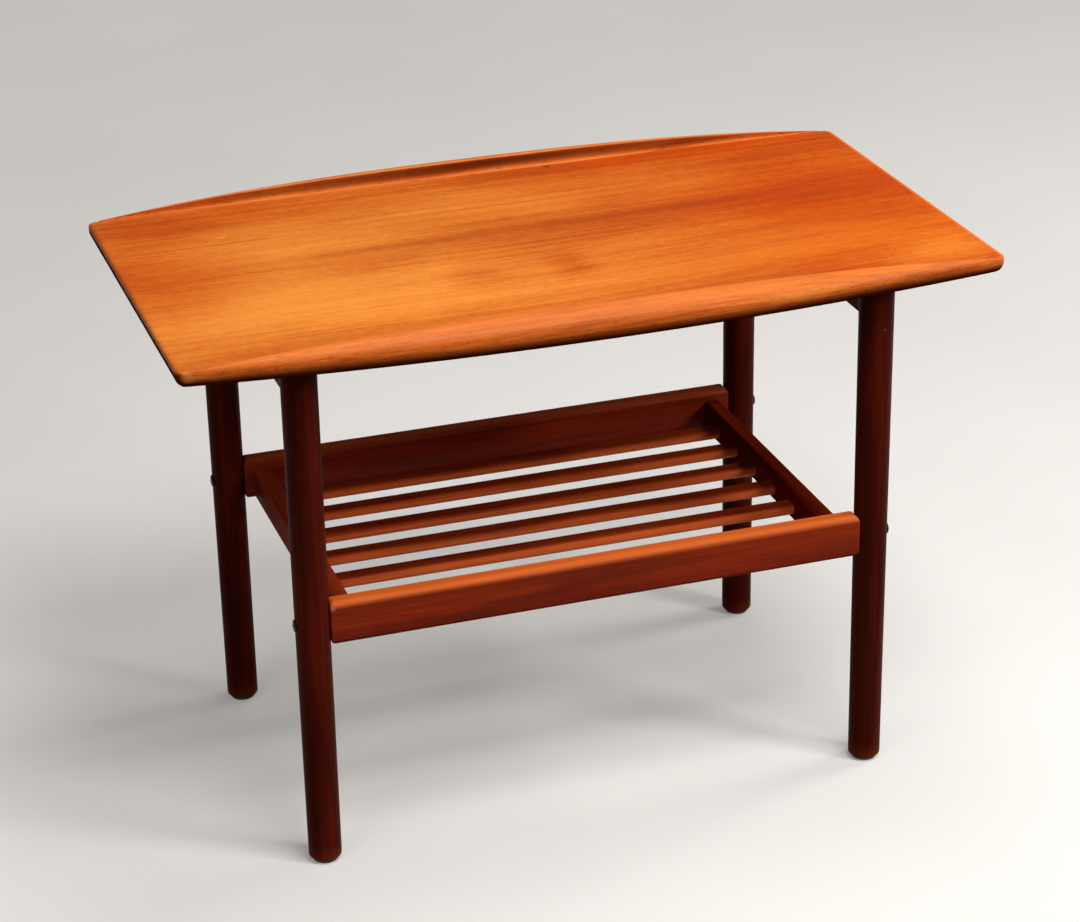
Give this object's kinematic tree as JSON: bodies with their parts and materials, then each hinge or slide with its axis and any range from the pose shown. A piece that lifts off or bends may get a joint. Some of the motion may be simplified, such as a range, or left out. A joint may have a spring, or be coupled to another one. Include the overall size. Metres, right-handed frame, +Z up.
{
  "type": "magazine table with rack",
  "caption": "Teak side table: boat-shaped top with raised front and back lips on round tapered legs, with a slatted magazine rack bolted between the legs.",
  "frame": {"origin": "on the floor under the middle of the top", "axes": "+X to the right along the length, +Y from the front to the back, +Z up"},
  "size_m": [0.75, 0.448, 0.5166],
  "materials": {
    "teak_veneer": "oiled satin, straight grain along the length",
    "solid_teak": "oiled satin, straight grain along each piece",
    "chipboard": "raw",
    "beech": "raw",
    "blackened_steel": "black oxide, satin",
    "plain_steel": "zinc plated",
    "dark_plastic": "matt"
  },
  "bodies": {
    "root": {"top_veneer": "teak_veneer", "backing_veneer": "teak_veneer", "left_end_lipping": "solid_teak", "right_end_lipping": "solid_teak", "front_lip": "solid_teak", "back_lip": "solid_teak", "left_bearer": "solid_teak", "right_bearer": "solid_teak", "front_left_leg": "solid_teak", "front_right_leg": "solid_teak", "back_left_leg": "solid_teak", "back_right_leg": "solid_teak", "front_rail": "solid_teak", "back_rail": "solid_teak", "left_end_rail": "solid_teak", "right_end_rail": "solid_teak", "slat_1": "solid_teak", "slat_2": "solid_teak", "slat_3": "solid_teak", "slat_4": "solid_teak", "slat_5": "solid_teak", "slat_6": "solid_teak", "top_core": "chipboard", "front_lip_tongue": "beech", "back_lip_tongue": "beech", "bearer_dowels": "beech", "rail_dowels": "beech", "rail_bolts": "blackened_steel", "barrel_nuts": "plain_steel", "top_screws": "plain_steel", "glide_nails": "plain_steel", "front_left_glide": "dark_plastic", "front_right_glide": "dark_plastic", "back_left_glide": "dark_plastic", "back_right_glide": "dark_plastic"}
  },
  "joints": []
}
